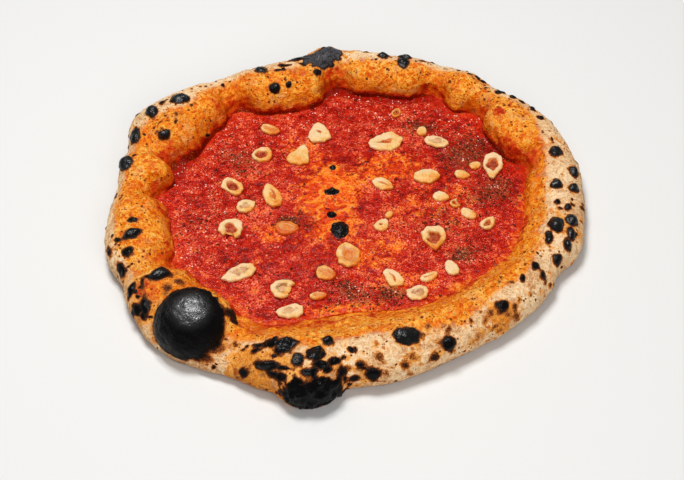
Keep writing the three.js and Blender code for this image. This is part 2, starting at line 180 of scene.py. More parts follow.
# A pimple's least and most half size in mm, how rare large ones are, its stretch, and rise by size
PIMPLE_SIZE = (0.7, 2.1)
PIMPLE_RARITY = 2.5
PIMPLE_STRETCH = 1.5
PIMPLE_RISE = 0.45

# The great burnt bubble: angle around, radius, height of its middle and half size in mm, the way
# that its black cap faces, how many degrees the cap reaches from there, and where it is glossy
GREAT_BUBBLE = (227.4, 140, 11, 25.4)
CAP_FACES = (-0.22, -0.50, 0.84)
CAP_REACH = 63
CAP_SHINES = (-0.04, -0.27, 0.96)

# Where the oily orange of the crust gives way to pale, floury crust: angle around, angle over
OIL_EDGE = [
    (0, 124), (14, 110), (23, 92), (30, 78), (48, 74), (64, 74), (80, 90), (92, 98), (104, 99), (121, 82),
    (130, 88), (136, 106), (141, 115), (145, 109), (150, 90), (154, 68), (158, 54), (167, 56), (173, 46),
    (185, 52), (194, 58), (205, 56), (213, 52), (222, 64), (236, 102), (243, 107), (255, 118), (267, 122),
    (274, 115), (278, 112), (284, 100), (295, 81), (301, 64), (304, 72), (310, 87), (318, 90), (324, 82),
    (331, 80), (339, 104), (346, 124),
]
# Creases of the rim, which hold red oil
CREASES = (17, 46, 62, 93, 126, 157, 173, 203, 242)
# How far the crust is soaked with red oil from the crest inwards: angle around, strength
SOAKED = [
    (0, 0.5), (15, 0.5), (30, 0.8), (46, 0.6), (62, 0.6), (93, 0.8), (102, 0.5), (112, 0.5), (126, 0.8),
    (140, 0.6), (160, 0.9), (200, 0.6), (225, 0.3), (270, 0.3), (285, 0.2), (300, 0.2), (330, 0.3),
]
# How red and dark the foot of the inner wall is, sauce stain and painted shade, which also sets the painted
# shade on the sauce by the wall: angle around, strength
WALL_STAIN_AND_SHADE = [
    (0, 0.35), (12, 0.35), (22, 0.7), (30, 1.2), (40, 0.8), (60, 0.9), (75, 1.2), (93, 1.0), (102, 0.8),
    (120, 0.85), (140, 0.8), (160, 1.0), (170, 0.8), (180, 0.72), (200, 0.68), (222, 0.45), (250, 0.35),
    (262, 0.28), (290, 0.28), (310, 0.35), (345, 0.37),
]

# Thin, oily places of the sauce: place and half sizes in mm, strength
THIN_SAUCE = [
    (-12, 12, 24, 50, 1.00),
    (28, 42, 34, 18, 0.75),
    (14, -38, 26, 18, 0.60),
    (-38, -18, 22, 15, 0.55),
    (55, 10, 32, 24, 0.45),
    (38, -66, 28, 14, 0.45),
    (-30, 55, 22, 24, 0.35),
    (-60, -40, 20, 16, 0.30),
    (6, -91, 44, 10, 0.95),
]
# Heaps of oregano: place and spread in mm, number of flakes
OREGANO_HEAPS = [
    (80, 57, 16, 560),
    (94, 17, 13, 420),
    (77, -40, 9, 260),
    (0, -75, 13, 340),
    (26, -78, 9, 200),
    (-36, -4, 8, 200),
    (50, 84, 10, 200),
    (-70, 52, 13, 220),
    (-95, -8, 15, 180),
    (60, -10, 18, 300),
]
OREGANO_EVERYWHERE = 1100
# How the heaps are drawn out: size of the folds and reach in mm, seed
HERB_DRIFT = (18, 9, 24)

# Scales of colours: for each stop its tone, and screen values of red, green and blue
FLOURY = ((0.20, 196, 136, 86), (0.42, 232, 188, 138), (0.58, 244, 208, 160), (0.80, 255, 240, 212))
GOLDEN = ((0.20, 198, 68, 0), (0.42, 230, 114, 6), (0.58, 243, 150, 30), (0.80, 255, 202, 100))
OIL_SOAKED = ((0.20, 146, 24, 0), (0.42, 190, 56, 0), (0.58, 214, 88, 6), (0.80, 238, 140, 40))
TOASTED = ((0.2, 206, 108, 24), (0.5, 232, 148, 54), (0.8, 248, 190, 104))
# Sauce on the crust, from orange to dark red; the darkest stops are painted shade at the wall's foot
STAINED_AND_SHADED = ((0.3, 222, 92, 12), (0.6, 200, 46, 4), (0.9, 150, 20, 0), (1.0, 124, 14, 0))
CHARRED = ((0.12, 204, 120, 48), (0.32, 120, 58, 20), (0.52, 38, 23, 16), (0.74, 9, 8, 8))
TOMATO = ((0.20, 108, 5, 0), (0.42, 174, 20, 4), (0.58, 204, 42, 14), (0.80, 236, 108, 68))
OILY_TOMATO = ((0.20, 194, 34, 0), (0.42, 216, 58, 0), (0.58, 230, 84, 6), (0.80, 244, 134, 36))
BURNT_BASE = ((0.3, 126, 54, 14), (0.46, 28, 19, 15), (0.6, 10, 9, 9))
BAKED_GARLIC = ((0.05, 236, 202, 154), (0.30, 234, 186, 112), (0.60, 230, 144, 48), (0.90, 214, 92, 20))
# The hollow of a slice: sauce seen through a ring's hole, and painted shade
GARLIC_HOLLOW_AND_SHADE = ((0.15, 210, 166, 120), (0.45, 222, 128, 46), (0.70, 196, 84, 28), (1.00, 140, 42, 12))
PULP = ((0.0, 138, 10, 0), (0.35, 188, 28, 8), (0.75, 212, 56, 26), (1.0, 240, 122, 88))
OREGANO = ((0.0, 46, 17, 8), (0.4, 88, 38, 18), (0.75, 126, 64, 32), (1.0, 188, 122, 84))

# Single colours, as screen values
RUDDY_OIL = (222, 82, 4)
FIRE_BROWN = (156, 86, 32)
# Low on the outer flank: partly browning and partly painted shade near the floor
FOOT_BROWN_AND_SHADE = (150, 96, 50)
# Grey on the back burn: partly ash and partly painted sheen
ASH_AND_SHEEN_GREY = (90, 88, 92)
SAUCE_MARGIN_RED = (200, 44, 12)
OIL_STREAK = (250, 158, 52)
SHADED_RED = (150, 16, 2)
HERB_BROWN = (118, 54, 24)
# Painted glints on the wet sauce
WET_GLINT = (252, 198, 182)
PIT_LINE = (142, 78, 34)
SOAKED_GARLIC = (206, 76, 16)

# Dots on the crust: size of the cells that hold one, share of cells with one on floury and on oily
# crust, colour
CRUST_DOTS = [
    (4.6, 0.60, 0.00, (192, 120, 66)),
    (1.7, 0.24, 0.40, (136, 64, 20)),
    (2.4, 0.20, 0.80, (132, 60, 16)),
    (3.8, 0.30, 0.90, (108, 48, 14)),
]
# Specks in the sauce: size of the cells that hold one, share of cells with one, colour. The pale ones are
# pulp specks that are also painted glints
SAUCE_SPECKS_AND_GLINTS = [
    (1.6, 0.45, (96, 12, 2)),
    # Pale pulp specks, also painted glints
    (1.8, 0.45, (246, 152, 122)),
    (2.6, 0.25, (84, 20, 6)),
]
# Dots in cells: least radius, spread of radii and softness of the edge, in cells
DOT_RADIUS = 0.14
DOT_SPREAD = 0.18
DOT_EDGE = 0.06
# The part of a noise texture's range that is stretched from 0 to 1
NOISE_SPAN = (0.27, 0.73)
CHAR_IOR = 2.2


def srgb(*values):
    """Screen values from 0 to 255 as a colour for a shader's socket."""
    shares = np.array(values) / 255
    return *np.where(shares <= 0.04045, shares / 12.92, ((shares + 0.055) / 1.055) ** 2.4), 1.0


def ease(low, high, values):
    """0 below one value, 1 above another, and smooth between."""
    share = np.clip((values - low) / (high - low), 0.0, 1.0)
    return share * share * (3 - 2 * share)


def unit(vectors):
    return vectors / np.maximum(np.linalg.norm(vectors, axis=-1, keepdims=True), 1e-12)


def sampled(points, size, shift, sample):
    """What a noise gives at shifted points, with features of a size in mm."""
    places = points.reshape(-1, 3) / (size * MM)
    return np.array([sample(Vector(place) + shift) for place in places])


def fractal(points, size, octaves=2, seed=0):
    """Smooth noise from about -1 to 1 at points."""
    shift = Vector((7.3, 3.1, 5.7)) * seed
    values = sampled(points, size, shift, lambda place: noise.fractal(place, 1.0, 2.0, octaves))
    return values.reshape(points.shape[:-1])


def cells(points, size, seed):
    """Distance to the nearest of random cell centres, 0 at a centre."""
    shift = Vector((2.9, 8.3, 4.1)) * seed
    values = sampled(points, size, shift, lambda place: noise.voronoi(place)[0][0])
    return values.reshape(points.shape[:-1])


def warped(points, size, amount, seed):
    """Points pushed about by smooth noise."""
    pushes = sampled(points, size, Vector((5.1, 2.7, 9.3)) * seed, noise.noise_vector)
    return points + pushes.reshape(points.shape) * amount * MM


def blur_around(values, sigma):
    """Gaussian blur along the first axis, which closes on itself."""
    count = values.shape[0]
    gain = np.exp(-2 * (np.pi * np.fft.rfftfreq(count) * sigma) ** 2)
    gain = gain.reshape((-1,) + (1,) * (values.ndim - 1))
    return np.fft.irfft(np.fft.rfft(values, axis=0) * gain, count, axis=0)


def blur_along(values, sigma, axis):
    reach = int(math.ceil(3 * sigma))
    weights = np.exp(-0.5 * (np.arange(-reach, reach + 1) / sigma) ** 2)
    pads = [(0, 0)] * values.ndim
    pads[axis] = (reach, reach)
    padded = np.pad(values, pads, mode="edge")
    return np.apply_along_axis(np.convolve, axis, padded, weights / weights.sum(), "valid")


def blur_grid(values, sigma):
    return blur_along(blur_along(values, sigma, 0), sigma, 1)


def degrees_apart(degrees, other):
    return np.abs((degrees - other + 180) % 360 - 180)


def degrees_from(vectors, direction):
    return np.degrees(np.arccos(np.clip(unit(vectors) @ unit(np.array(direction)), -1, 1)))


def profile(table, degrees):
    """Values from a table of (angle, value), around the full circle."""
    angles, values = zip(*table)
    return np.interp(degrees, angles, values, period=360)


def node_tree(*names):
    points, faces = [], []
    for name in names:
        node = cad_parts[name]
        first = len(points)
        points += [node.matrix_world @ vertex.co for vertex in node.data.vertices]
        faces += [[first + k for k in face.vertices] for face in node.data.polygons]
    return BVHTree.FromPolygons(points, faces)


def outer_radius(tree, angles, level):
    """Radius at which level rays from outside meet a tree, at angles."""
    start = 2 * np.abs(np.array(cad_box)[:, :2]).max()
    radii = []
    for angle in angles:
        outward = Vector((math.cos(angle), math.sin(angle), 0))
        hit = tree.ray_cast(outward * start + Vector((0, 0, level)), -outward)
        radii.append(start - hit[3])
    return np.array(radii)


def linked(name, data):
    item = bpy.data.objects.new(name, data)
    bpy.context.scene.collection.objects.link(item)
    return item


def new_piece(name, points, faces, material):
    """A smooth mesh piece that rides on the pizza."""
    mesh = bpy.data.meshes.new(name)
    mesh.from_pydata(points.reshape(-1, 3).tolist(), [], faces)
    mesh.shade_smooth()
    mesh.materials.append(material)
    piece = linked(name, mesh)
    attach(piece, "root")
    return piece


def set_field(piece, name, values):
    """Stores one number for each vertex, for the material to read."""
    field = piece.data.attributes.new(name, "FLOAT", "POINT")
    field.data.foreach_set("value", np.asarray(values, dtype=np.float32).ravel())


def quads(corners):
    """Faces between the points of a grid, which is given by their numbers."""
    sides = corners[:-1, :-1], corners[1:, :-1], corners[1:, 1:], corners[:-1, 1:]
    return np.stack(sides, axis=-1).reshape(-1, 4).tolist()


def fan(middle, ring):
    """Faces from a middle point to a closed ring of points."""
    return [(middle, int(there), int(here)) for here, there in zip(ring, np.roll(ring, -1))]


# Materials

class Paint:
    """Builds a material's nodes with short calls that return sockets."""

    def __init__(self, name):
        self.material = bpy.data.materials.new(name)
        self.material.use_nodes = True
        self.tree = self.material.node_tree
        self.place = self.add("TexCoord", {}).outputs["Object"]

    def fill(self, node, inputs):
        """Sets a node's inputs, by name or number, to values or other sockets."""
        for key, value in inputs.items():
            if isinstance(value, bpy.types.NodeSocket):
                self.tree.links.new(value, node.inputs[key])
            else:
                node.inputs[key].default_value = value

    def add(self, kind, inputs, **settings):
        node = self.tree.nodes.new("ShaderNode" + kind)
        for name, value in settings.items():
            setattr(node, name, value)
        self.fill(node, inputs)
        return node

    def finish(self, inputs):
        self.fill(self.tree.nodes["Principled BSDF"], inputs)
        return self.material

    def field(self, name):
        return self.add("Attribute", {}, attribute_name=name).outputs["Fac"]

    def noise(self, size, detail=3.0, warp=0.0):
        """Noise from 0 to 1, with features of a size in mm."""
        inputs = {"Vector": self.place, "Scale": 1 / (size * MM), "Detail": detail, "Distortion": warp}
        return self.step(*NOISE_SPAN, self.add("TexNoise", inputs).outputs[0])

    def ridges(self, size, detail, warp):
        """Noise folded into sharp ridges at 1."""
        folded = self.math("MULTIPLY_ADD", self.noise(size, detail, warp), 2.0, -1.0)
        return self.math("SUBTRACT", 1.0, self.math("ABSOLUTE", folded))

    def cells(self, size):
        """Distance to a cell's middle, in cells, and two random numbers for the cell."""
        node = self.add("TexVoronoi", {"Vector": self.place, "Scale": 1 / (size * MM)})
        split = self.add("SeparateColor", {0: node.outputs["Color"]})
        return node.outputs["Distance"], split.outputs[0], split.outputs[1]

    def dots(self, size, density):
        """Dots in as large a share of cells as the density says."""
        distance, chance, girth = self.cells(size)
        radius = self.math("MULTIPLY_ADD", girth, DOT_SPREAD, DOT_RADIUS)
        dot = self.step(DOT_EDGE, -DOT_EDGE, self.math("SUBTRACT", distance, radius))
        return self.times(dot, self.math("LESS_THAN", chance, density))

    def math(self, operation, first, second=0.0, third=0.0):
        return self.add("Math", {0: first, 1: second, 2: third}, operation=operation).outputs[0]

    def times(self, first, second):
        return self.math("MULTIPLY", first, second)

    def total(self, *terms):
        result = 0.0
        for value, weight in terms:
            result = self.math("MULTIPLY_ADD", value, weight, result)
        return result

    def uneven(self, value, *noises):
        """A value pushed up and down by noises, each with a weight."""
        for noise_value, weight in noises:
            value = self.math("MULTIPLY_ADD", self.math("SUBTRACT", noise_value, 0.5), weight, value)
        return value

    def step(self, low, high, value):
        inputs = {"Value": value, "From Min": low, "From Max": high}
        return self.add("MapRange", inputs, interpolation_type="SMOOTHSTEP").outputs[0]

    def ramp(self, value, scale):
        node = self.add("ValToRGB", {0: value})
        elements = node.color_ramp.elements
        while len(elements) < len(scale):
            elements.new(1.0)
        for element, (position, *colour) in zip(elements, scale):
            element.position = position
            element.color = srgb(*colour)
        return node.outputs[0]

    def mix(self, factor, under, over):
        """A colour under another one, which may be given as screen values."""
        if isinstance(over, tuple):
            over = srgb(*over)
        return self.add("Mix", {0: factor, 6: under, 7: over}, data_type="RGBA").outputs[2]

    def blend(self, factor, first, second):
        return self.add("Mix", {0: factor, 2: first, 3: second}).outputs[0]

    def bump(self, height, distance, strength=1.0):
        inputs = {"Height": height, "Distance": distance * MM, "Strength": strength}
        return self.add("Bump", inputs).outputs[0]


class CrustPaint(Paint):
    """Baked crust, layer over layer: flour and oil, browning and painted shade low on the flank, dots, sauce
    stain and painted shade at the wall's foot, char, ash and painted sheen.
    """

    def __init__(self):
        super().__init__("baked_crust")
        self.fine = self.noise(0.9, 2)
        self.mottle = self.noise(4.2, 3, 0.6)
        self.broad = self.noise(12.0, 3)
        self.net = self.ridges(4.0, 2, 0.8)
        patches = self.noise(28.0, 2)
        self.tone = self.uneven(
            0.5, (self.net, 0.28), (self.mottle, 0.26), (self.fine, 0.28), (self.broad, 0.24),
            (patches, 0.16))
        self.oil = self.step(0.15, 0.85, self.blotched("oil", 0.5, 0.4, 0.2))
        self.char = self.uneven(self.field("char"), (self.fine, 0.20), (self.mottle, 0.16))
        self.black = self.step(0.55, 0.72, self.char)

    def blotched(self, name, broad, mottle, fine=0.0):
        """A field made uneven by the noises, each with a weight."""
        return self.uneven(
            self.field(name), (self.broad, broad), (self.mottle, mottle), (self.fine, fine))

    def oily(self):
        """Golden on the crest, deeper and more even where red oil has soaked in."""
        depth = self.blotched("soaked", 0.6, 0.4)
        calm = self.times(self.step(0.10, 0.80, depth), 0.5)
        tone = self.blend(calm, self.uneven(self.tone, (self.net, 0.10)), 0.5)
        ruddy = self.times(self.step(0.60, 0.85, self.noise(6.0, 3, 1.0)), 0.5)
        golden = self.mix(ruddy, self.ramp(tone, GOLDEN), RUDDY_OIL)
        return self.mix(self.step(0.30, 0.90, depth), golden, self.ramp(tone, OIL_SOAKED))

    def browned(self, colour):
        heat = self.blotched("toast_and_shade", 0.5, 0.4)
        colour = self.mix(self.step(0.25, 0.65, heat), colour, self.ramp(self.tone, TOASTED))
        colour = self.mix(self.step(0.80, 1.15, heat), colour, FIRE_BROWN)
        # Low on the outer flank: browner, partly browning and partly painted shade near the floor
        foot = self.step(0.10, 1.20, self.blotched("foot", 0.3, 0.4))
        return self.mix(self.times(foot, 0.75), colour, FOOT_BROWN_AND_SHADE)

    def dotted(self, colour):
        clusters = self.times(self.field("speckle"), self.step(0.2, 0.8, self.broad))
        for size, on_flour, on_oil, shade in CRUST_DOTS:
            density = self.times(clusters, self.blend(self.oil, on_flour, on_oil))
            colour = self.mix(self.dots(size, density), colour, shade)
        return colour

    def stained_and_shaded(self, colour):
        # Sauce stain, darkest at the wall's foot, where that dark is painted shade
        stain_and_shade = self.blotched("stain_and_shade", 0.6, 0.5)
        return self.mix(self.step(0.20, 0.70, stain_and_shade), colour, self.ramp(stain_and_shade, STAINED_AND_SHADED))

    def burnt(self, colour):
        """A colour charred to black, with grey on it between fine cracks, partly ash and partly painted
        sheen.
        """
        colour = self.mix(self.step(0.04, 0.28, self.char), colour, self.ramp(self.char, CHARRED))
        cracks = self.step(0.72, 0.95, self.net)
        ash_and_sheen = self.times(self.times(self.field("ash_and_sheen"), self.black), self.blend(cracks, 0.6, 0.1))
        return self.mix(ash_and_sheen, colour, ASH_AND_SHEEN_GREY)

    def painted(self):
        colour = self.mix(self.oil, self.ramp(self.tone, FLOURY), self.oily())
        for layer in (self.browned, self.dotted, self.stained_and_shaded, self.burnt):
            colour = layer(colour)
        glaze = self.field("glaze")
        bare_rough = self.blend(self.oil, 0.75, 0.50)
        rough = self.blend(self.black, bare_rough, self.blend(self.mottle, 0.18, 0.36))
        relief = self.total((self.fine, 0.4), (self.net, 0.6))
        return self.finish({
            "Base Color": colour,
            "IOR": CHAR_IOR,
            "Roughness": self.blend(glaze, rough, self.blend(self.net, 0.30, 0.46)),
            "Specular IOR Level": self.blend(glaze, self.blend(self.black, 0.03, 0.028), 0.44),
            "Normal": self.bump(relief, 0.7, self.blend(self.black, 0.9, 0.35)),
        })


class SaucePaint(Paint):
    """Tomato sauce, layer over layer: red pulp, thin oily places, painted shade by the wall, herbs, specks,
    painted glints and burnt base.
    """

    def __init__(self):
        super().__init__("tomato_sauce")
        self.grain = self.noise(1.0, 2)
        self.pulp = self.noise(2.6, 3, 0.5)
        self.clots = self.noise(7.0, 3, 0.5)
        self.broad = self.noise(24.0, 2)
        self.clusters = self.step(0.25, 0.75, self.total((self.clots, 0.6), (self.broad, 0.4)))
        self.thin = self.uneven(
            self.blotched("thin", 0.5, 0.3), (self.broad, 0.4), (self.grain, 0.2))
        self.margin = self.step(0.30, 0.80, self.blotched("margin", 0.6, 0.3))

    def blotched(self, name, clots, pulp):
        """A field made uneven by two noises, each with a weight."""
        return self.uneven(self.field(name), (self.clots, clots), (self.pulp, pulp))

    def red(self):
        """Red where the sauce is thick, orange with streaks of oil where it is thin."""
        grainy = self.blend(self.clusters, 0.22, 0.48)
        tone = self.uneven(
            0.5, (self.pulp, 0.24), (self.grain, grainy), (self.clots, 0.28), (self.broad, 0.24))
        thin = self.step(0.20, 1.00, self.thin)
        colour = self.mix(thin, self.ramp(tone, TOMATO), self.ramp(tone, OILY_TOMATO))
        colour = self.mix(self.times(self.margin, 0.5), colour, SAUCE_MARGIN_RED)
        streaks = self.step(0.62, 0.98, self.ridges(12.0, 3, 0.5))
        streaks = self.times(streaks, self.step(0.40, 1.00, self.thin))
        return self.mix(self.times(streaks, 0.7), colour, OIL_STREAK)

    def shaded(self, colour):
        colour = self.mix(self.step(0.30, 1.00, self.blotched("shade", 0.6, 0.3)), colour, SHADED_RED)
        herbs = self.step(0.25, 1.05, self.blotched("herbs", 0.5, 0.6))
        return self.mix(self.times(herbs, 0.6), colour, HERB_BROWN)

    def specked_and_glinted(self, colour):
        # Dark specks, and pale pulp specks that are also painted glints
        thick = self.times(self.clusters, self.step(1.2, 0.2, self.thin))
        thick = self.times(thick, self.math("SUBTRACT", 1.0, self.margin))
        for size, share, speck_and_glint in SAUCE_SPECKS_AND_GLINTS:
            colour = self.mix(self.dots(size, self.times(thick, share)), colour, speck_and_glint)
        # Painted glints, thickest by the back wall and in the herbs
        wet_and_glints = self.times(self.field("wet_and_glints"), self.step(0.3, 0.7, self.clots))
        return self.mix(self.dots(1.9, self.times(wet_and_glints, 0.45)), colour, WET_GLINT)

    def painted(self):
        colour = self.specked_and_glinted(self.shaded(self.red()))
        char = self.uneven(self.field("char"), (self.grain, 0.2), (self.pulp, 0.2))
        colour = self.mix(self.step(0.2, 0.42, char), colour, self.ramp(char, BURNT_BASE))
        return self.finish({
            "Base Color": colour,
            "Roughness": self.blend(self.pulp, 0.30, 0.14),
            "Specular IOR Level": 0.17,
            "Normal": self.bump(self.total((self.pulp, 0.7), (self.grain, 0.3)), 0.4),
        })


def garlic_material():
    paint = Paint("baked_garlic")
    soft = paint.noise(4.0, 3)
    fine = paint.noise(1.2, 2)
    colour = paint.ramp(paint.uneven(paint.field("toast_and_shade"), (soft, 0.30), (fine, 0.15)), BAKED_GARLIC)
    # The hollow: partly the sauce seen through a ring's hole and partly painted shade
    pit = paint.times(paint.field("pit"), paint.uneven(1.0, (fine, 0.4), (soft, 0.4)))
    colour = paint.mix(paint.step(0.05, 0.22, pit), colour, paint.ramp(pit, GARLIC_HOLLOW_AND_SHADE))
    line = paint.times(paint.field("outline"), paint.step(0.2, 0.8, soft))
    colour = paint.mix(line, colour, PIT_LINE)
    # Sauce soaked into the slice's bottom edge
    wet_and_glints = paint.uneven(paint.field("sunk"), (fine, 0.3), (soft, 0.3))
    colour = paint.mix(paint.step(0.40, 0.90, wet_and_glints), colour, SOAKED_GARLIC)
    return paint.finish({
        "Base Color": colour,
        "Roughness": 0.4,
        "Specular IOR Level": 0.3,
        "Subsurface Weight": 0.15,
        "Subsurface Scale": 1.5 * MM,
        "Normal": paint.bump(fine, 0.3, 0.8),
    })


def bit_material(name, scale, roughness, specular):
    paint = Paint(name)
    return paint.finish({
        "Base Color": paint.ramp(paint.field("tone"), scale),
        "Roughness": roughness,
        "Specular IOR Level": specular,
    })


# The crust

def column_angles():
    return np.arange(COLUMNS) * 2 * np.pi / COLUMNS


def rim_reach(tree, angles, spine):
    """Distance from the spine to the crust's surface, for each column and ray, without facets."""
    reach = np.empty((COLUMNS, len(RAYS)))
    directions = [(math.cos(ray), math.sin(ray)) for ray in np.radians(RAYS)]
    for column, (angle, radius) in enumerate(zip(angles, spine)):
        cosine, sine = math.cos(angle), math.sin(angle)
        start = Vector((radius * cosine, radius * sine, SPINE_HEIGHT))
        for ray, (out, up) in enumerate(directions):
            reach[column, ray] = tree.ray_cast(start, Vector((out * cosine, out * sine, up)))[3]
    return blur_along(blur_around(reach, FACET_BLUR[0]), FACET_BLUR[1], axis=1)


def rim_grid():
    """An even grid of points on the rim, and their angles over it, as seen from a spine inside."""
    tree = node_tree("dough")
    angles = column_angles()
    spine = blur_around(outer_radius(tree, angles, BULGE_HEIGHT), SPINE_BLUR) - SPINE_INSET
    reach = rim_reach(tree, angles, spine)
    radius = spine[:, None] + reach * np.cos(np.radians(RAYS))
    height = np.maximum(SPINE_HEIGHT + reach * np.sin(np.radians(RAYS)), 0.0)
    points = np.empty((COLUMNS, ROWS, 3))
    over = np.empty((COLUMNS, ROWS))
    for column, angle in enumerate(angles):
        steps = np.hypot(np.diff(radius[column]), np.diff(height[column]))
        along = np.append(0, np.cumsum(steps))
        even = np.linspace(0, along[-1], ROWS)
        across, up, over[column] = (
            np.interp(even, along, values) for values in (radius[column], height[column], RAYS))
        points[column] = np.stack([across * math.cos(angle), across * math.sin(angle), up], axis=1)
    return points, over


def grid_normals(points):
    around = np.roll(points, -1, axis=0) - np.roll(points, 1, axis=0)
    across = np.gradient(points, axis=1)
    return unit(np.cross(around, across))


def spot_distance(points, crust, spot):
    """Distance of all points from a burnt spot's middle: 1 at its edge."""
    surface, normals, over = crust
    angle, place, half_length, half_width, lean = spot[:5]
    column = int(round(angle / 360 * COLUMNS)) % COLUMNS
    row = int(np.argmin(np.abs(over[column] - place)))
    normal = normals[column, row]
    turn = math.radians(angle)
    around = np.array((-math.sin(turn), math.cos(turn), 0.0))
    across = np.cross(around, normal)
    cosine, sine = math.cos(math.radians(lean)), math.sin(math.radians(lean))
    offset = points - surface[column, row]
    length = offset @ (around * cosine + across * sine) / (half_length * MM)
    width = offset @ (across * cosine - around * sine) / (half_width * MM)
    depth = offset @ normal / (SPOT_DEPTH + half_length * MM)
    return np.sqrt(length ** 2 + width ** 2 + depth ** 2)


def random_pimples(draw):
    spots = []
    for first, last, low, high, count, least, most in PIMPLE_ZONES:
        for _ in range(count):
            size = np.interp(draw.random() ** PIMPLE_RARITY, (0, 1), PIMPLE_SIZE)
            stretch = draw.uniform(1.0, PIMPLE_STRETCH)
            spots.append((
                draw.uniform(first, last), draw.uniform(low, high), size * stretch, size / stretch,
                draw.uniform(-90, 90), PIMPLE_RISE * size, draw.uniform(least, most)))
    return spots


def patch_field(points, crust, patches):
    strength = np.zeros(points.shape[:2])
    for patch in patches:
        distance = spot_distance(points, crust, patch[:4] + (0,))
        strength = np.maximum(strength, patch[4] * (1 - ease(0.5, 1.3, distance)))
    return strength


def burn(crust):
    """How far burnt spots rise, their blackness, the browning by their heat, and their gloss."""
    points = crust[0]
    rise, char, heat, gloss = np.zeros((4,) + points.shape[:2])
    uneven = warped(points, 6.0, 0.6, 1)
    ragged = fractal(points, 4.0, 2, 2)
    for spot in BURNT_SPOTS + [FRONT_BURN, BACK_BURN] + random_pimples(np.random.default_rng(SEED)):
        height, blackness = spot[5:]
        distance = spot_distance(uneven, crust, spot) * (1 + 0.7 * ragged / (1 + height))
        rise = np.maximum(rise, height * MM * np.clip(1 - (distance / 1.15) ** 2, 0, 1) ** 0.8)
        sharp = np.clip(0.36 * spot[3] * (1 + 0.5 * height) / SPOT_EDGE, 0.76, 2.2)
        char = np.maximum(char, 1.3 * blackness ** 1.4 * np.clip(0.44 + sharp * (1 - distance), 0, 1))
        gloss = np.maximum(gloss, ease(0.8, 2.4, height) * (1 - ease(0.8, 1.1, distance)))
        if spot[2] > 2 * PIMPLE_SIZE[0]:
            browned = (0.3 + 0.7 * blackness) / (1 + 0.25 * height)
            heat = np.maximum(heat, browned * (1 - ease(0.9, 2.0, distance)))
    return rise, char, np.maximum(heat, patch_field(uneven, crust, GOLDEN_PATCHES)), gloss


def great_bubble(points):
    """Rounds the great bubble. Also gives how near points are to it, degrees inside its cap, and gloss."""
    angle, radius, height, size = GREAT_BUBBLE
    turn = math.radians(angle)
    middle = np.array((radius * math.cos(turn), radius * math.sin(turn), height)) * MM
    offset = points - middle
    reach = np.linalg.norm(offset, axis=-1, keepdims=True)
    near = 1 - ease(1.25, 1.40, reach[..., 0] / (size * MM))
    inside = CAP_REACH - degrees_from(offset, CAP_FACES)
    gloss = near * (1 - ease(14, 38, degrees_from(offset, CAP_SHINES)))
    on_ball = near * ease(-10, 2, inside)
    ball = middle + offset / reach * size * MM
    return points + (ball - points) * on_ball[..., None], (near, inside, gloss)


def crease_depth(degrees, width):
    """1 in the middle of a crease of the rim, 0 some degrees away from it."""
    apart = np.min([degrees_apart(degrees, crease) for crease in CREASES], axis=0)
    return 1 - ease(0.3 * width, width, apart)


def wrinkles(degrees, over):
    """Fine folds that run across the rim, from -0.5 to 0.5."""
    turn = np.radians(degrees)
    sheet = np.stack([143 * np.cos(turn), 143 * np.sin(turn), 0.12 * over], axis=-1) * MM
    return 0.5 - np.abs(fractal(sheet, 5.5, 2, 4))


def puffs(degrees, over):
    """Height in mm of the puffs of the inner wall, which swell between the creases."""
    inner = ease(85, 130, over) * (1 - ease(168, 179, over))
    back = ease(0.4, 0.7, profile(WALL_STAIN_AND_SHADE, degrees))
    return (2.0 - 4.4 * crease_depth(degrees, 7)) * inner * back


def crinkles(points, degrees, over):
    """Height in mm of the crinkled skin of the inner slope."""
    slope = ease(90, 120, over) * (1 - ease(165, 176, over))
    front = 1 - 0.6 * ease(0.4, 0.7, profile(WALL_STAIN_AND_SHADE, degrees))
    return 1.6 * (0.4 - np.abs(fractal(points, 6, 3, 25))) * slope * front


def crackle(points, degrees, char):
    """Height in mm of the crackled skin of black crust."""
    height = 1.6 * fractal(points, 3.4, 2, 8) + 3.6 * (0.42 - cells(points, 6.0, 9))
    front = 1 - ease(8, 14, degrees_apart(degrees, FRONT_BURN[0]))
    return height * (0.35 + 0.65 * front) * ease(0.6, 0.9, char)


def crust_relief(points, degrees, over, char):
    """Height in mm of the crust's small forms, apart from the great bubble."""
    lumps = 0.9 * fractal(points, 15, 2, 6) + 0.4 * fractal(points, 6, 2, 7)
    pores = 0.6 * (0.45 - cells(points, 4.2, 3))
    folds = (0.35 + 0.9 * crease_depth(degrees, 9)) * wrinkles(degrees, over) * ease(40, 90, over)
    skin = puffs(degrees, over) + crinkles(points, degrees, over)
    return lumps + pores + folds + skin + crackle(points, degrees, char)


def raised(crust, degrees, bubble, char, rise):
    points, normals, over = crust
    near, inside, _ = bubble
    cap = cap_share(bubble)
    relief = crust_relief(points, degrees, over, char) * (1 - 0.9 * cap)
    relief -= 0.9 * near * np.exp(-((inside + 7) / 5) ** 2)
    skin = 0.6 * (0.5 - np.abs(fractal(points, 8, 3, 19))) - 0.5 * np.abs(fractal(points, 4, 2, 23))
    relief += cap * (skin + fractal(points, 18, 2, 22))
    relief += 1.2 * fractal(points, 9, 2, 20) * ease(140, 165, over)
    free = ease(0.5 * MM, 4 * MM, points[..., 2]) * (1 - ease(174, 180, over))
    lifted = points + normals * ((relief * MM + rise * (1 - cap)) * free)[..., None]
    lifted[..., 2] = np.maximum(lifted[..., 2], 0.0)
    return lifted


def cap_share(bubble):
    """1 on the black cap of the great bubble, 0 away from it."""
    near, inside, _ = bubble
    return near * ease(0, 6, inside)


